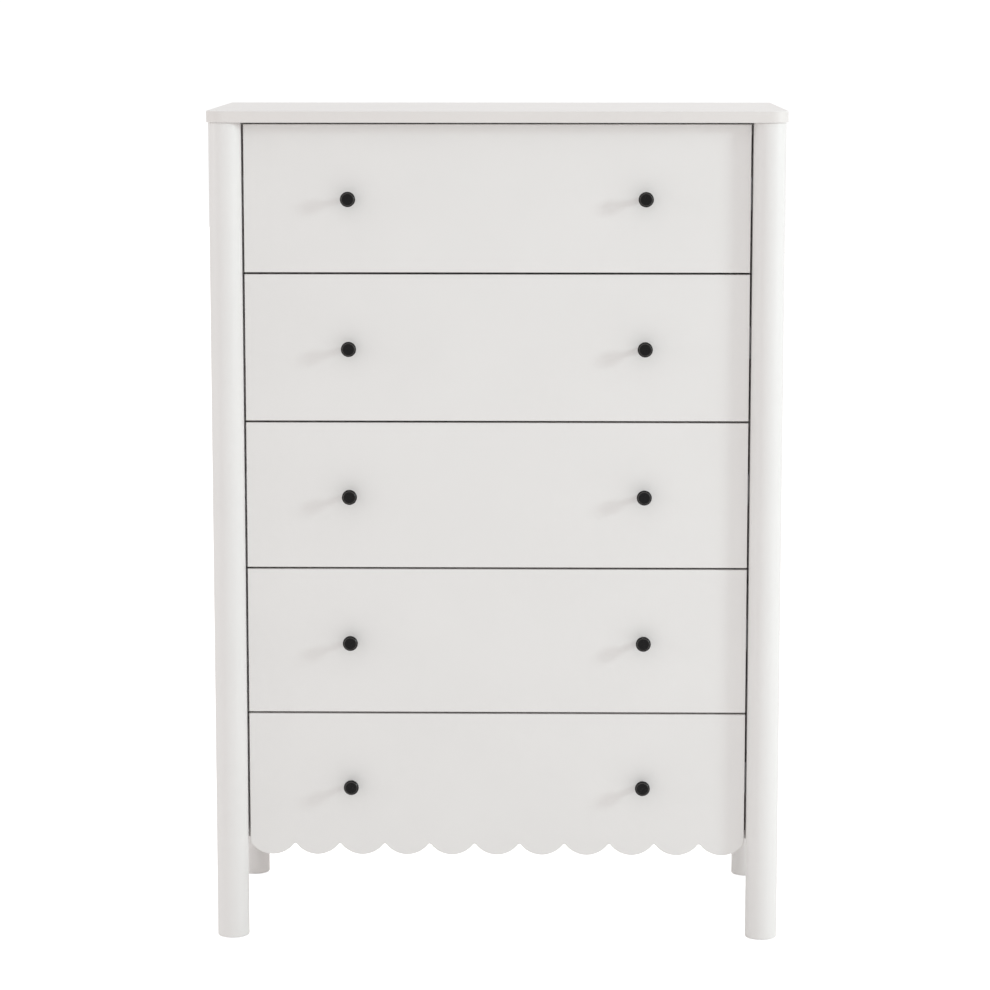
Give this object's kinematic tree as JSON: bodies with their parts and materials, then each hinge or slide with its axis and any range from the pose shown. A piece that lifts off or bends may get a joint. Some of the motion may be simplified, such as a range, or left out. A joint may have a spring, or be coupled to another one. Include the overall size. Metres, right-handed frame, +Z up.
{
  "type": "tall chest of drawers",
  "caption": "Tall narrow-depth chest with a slab top on round posts, a stack of equal drawers with round knobs, and a scalloped lower edge.",
  "frame": {"origin": "on the floor under the middle of the top slab", "axes": "+X to the right of someone facing the drawers, +Y towards the back, +Z up"},
  "size_m": [0.8, 0.4, 1.168],
  "materials": {
    "white_lacquer": "satin warm-white lacquer on fibreboard",
    "white_board": "white foil-faced board",
    "back_board": "white faced hardboard",
    "black_metal": "matte black powder coat",
    "zinc_steel": "bright zinc plate",
    "glide_plastic": "grey moulded plastic"
  },
  "bodies": {
    "case": {"top_panel": "white_lacquer", "post_front_left": "white_lacquer", "post_front_right": "white_lacquer", "post_rear_left": "white_lacquer", "post_rear_right": "white_lacquer", "side_panel_left": "white_lacquer", "side_panel_right": "white_lacquer", "back_panel": "back_board", "bottom_panel": "white_lacquer", "front_top_rail": "white_lacquer", "rear_top_rail": "white_lacquer", "floor_glides": "glide_plastic", "anti_tip_brackets": "zinc_steel", "case_screws": "zinc_steel", "case_runners": "zinc_steel"},
    "drawer_1": {"drawer_1_front": "white_lacquer", "drawer_1_side_left": "white_board", "drawer_1_side_right": "white_board", "drawer_1_back": "white_board", "drawer_1_bottom": "white_board", "drawer_1_knobs": "black_metal", "drawer_1_runner_inner": "zinc_steel", "drawer_1_fittings": "zinc_steel"},
    "drawer_1_runner": {"drawer_1_runner_middle": "zinc_steel"},
    "drawer_2": {"drawer_2_front": "white_lacquer", "drawer_2_side_left": "white_board", "drawer_2_side_right": "white_board", "drawer_2_back": "white_board", "drawer_2_bottom": "white_board", "drawer_2_knobs": "black_metal", "drawer_2_runner_inner": "zinc_steel", "drawer_2_fittings": "zinc_steel"},
    "drawer_2_runner": {"drawer_2_runner_middle": "zinc_steel"},
    "drawer_3": {"drawer_3_front": "white_lacquer", "drawer_3_side_left": "white_board", "drawer_3_side_right": "white_board", "drawer_3_back": "white_board", "drawer_3_bottom": "white_board", "drawer_3_knobs": "black_metal", "drawer_3_runner_inner": "zinc_steel", "drawer_3_fittings": "zinc_steel"},
    "drawer_3_runner": {"drawer_3_runner_middle": "zinc_steel"},
    "drawer_4": {"drawer_4_front": "white_lacquer", "drawer_4_side_left": "white_board", "drawer_4_side_right": "white_board", "drawer_4_back": "white_board", "drawer_4_bottom": "white_board", "drawer_4_knobs": "black_metal", "drawer_4_runner_inner": "zinc_steel", "drawer_4_fittings": "zinc_steel"},
    "drawer_4_runner": {"drawer_4_runner_middle": "zinc_steel"},
    "drawer_5": {"drawer_5_front": "white_lacquer", "drawer_5_side_left": "white_board", "drawer_5_side_right": "white_board", "drawer_5_back": "white_board", "drawer_5_bottom": "white_board", "drawer_5_knobs": "black_metal", "drawer_5_runner_inner": "zinc_steel", "drawer_5_fittings": "zinc_steel"},
    "drawer_5_runner": {"drawer_5_runner_middle": "zinc_steel"}
  },
  "joints": [
    {"name": "drawer_1_slide", "type": "slide", "parent": "case", "child": "drawer_1", "axis": [0, -1, 0], "range_m": [0, 0.3]},
    {"name": "drawer_1_runner_slide", "type": "slide", "parent": "case", "child": "drawer_1_runner", "axis": [0, -1, 0], "range_m": [0, 0.15]},
    {"name": "drawer_2_slide", "type": "slide", "parent": "case", "child": "drawer_2", "axis": [0, -1, 0], "range_m": [0, 0.3]},
    {"name": "drawer_2_runner_slide", "type": "slide", "parent": "case", "child": "drawer_2_runner", "axis": [0, -1, 0], "range_m": [0, 0.15]},
    {"name": "drawer_3_slide", "type": "slide", "parent": "case", "child": "drawer_3", "axis": [0, -1, 0], "range_m": [0, 0.3]},
    {"name": "drawer_3_runner_slide", "type": "slide", "parent": "case", "child": "drawer_3_runner", "axis": [0, -1, 0], "range_m": [0, 0.15]},
    {"name": "drawer_4_slide", "type": "slide", "parent": "case", "child": "drawer_4", "axis": [0, -1, 0], "range_m": [0, 0.3]},
    {"name": "drawer_4_runner_slide", "type": "slide", "parent": "case", "child": "drawer_4_runner", "axis": [0, -1, 0], "range_m": [0, 0.15]},
    {"name": "drawer_5_slide", "type": "slide", "parent": "case", "child": "drawer_5", "axis": [0, -1, 0], "range_m": [0, 0.3]},
    {"name": "drawer_5_runner_slide", "type": "slide", "parent": "case", "child": "drawer_5_runner", "axis": [0, -1, 0], "range_m": [0, 0.15]}
  ],
  "couplings": [
    {"joint": "drawer_1_runner_slide", "follows": "drawer_1_slide", "ratio": 0.5},
    {"joint": "drawer_2_runner_slide", "follows": "drawer_2_slide", "ratio": 0.5},
    {"joint": "drawer_3_runner_slide", "follows": "drawer_3_slide", "ratio": 0.5},
    {"joint": "drawer_4_runner_slide", "follows": "drawer_4_slide", "ratio": 0.5},
    {"joint": "drawer_5_runner_slide", "follows": "drawer_5_slide", "ratio": 0.5}
  ]
}
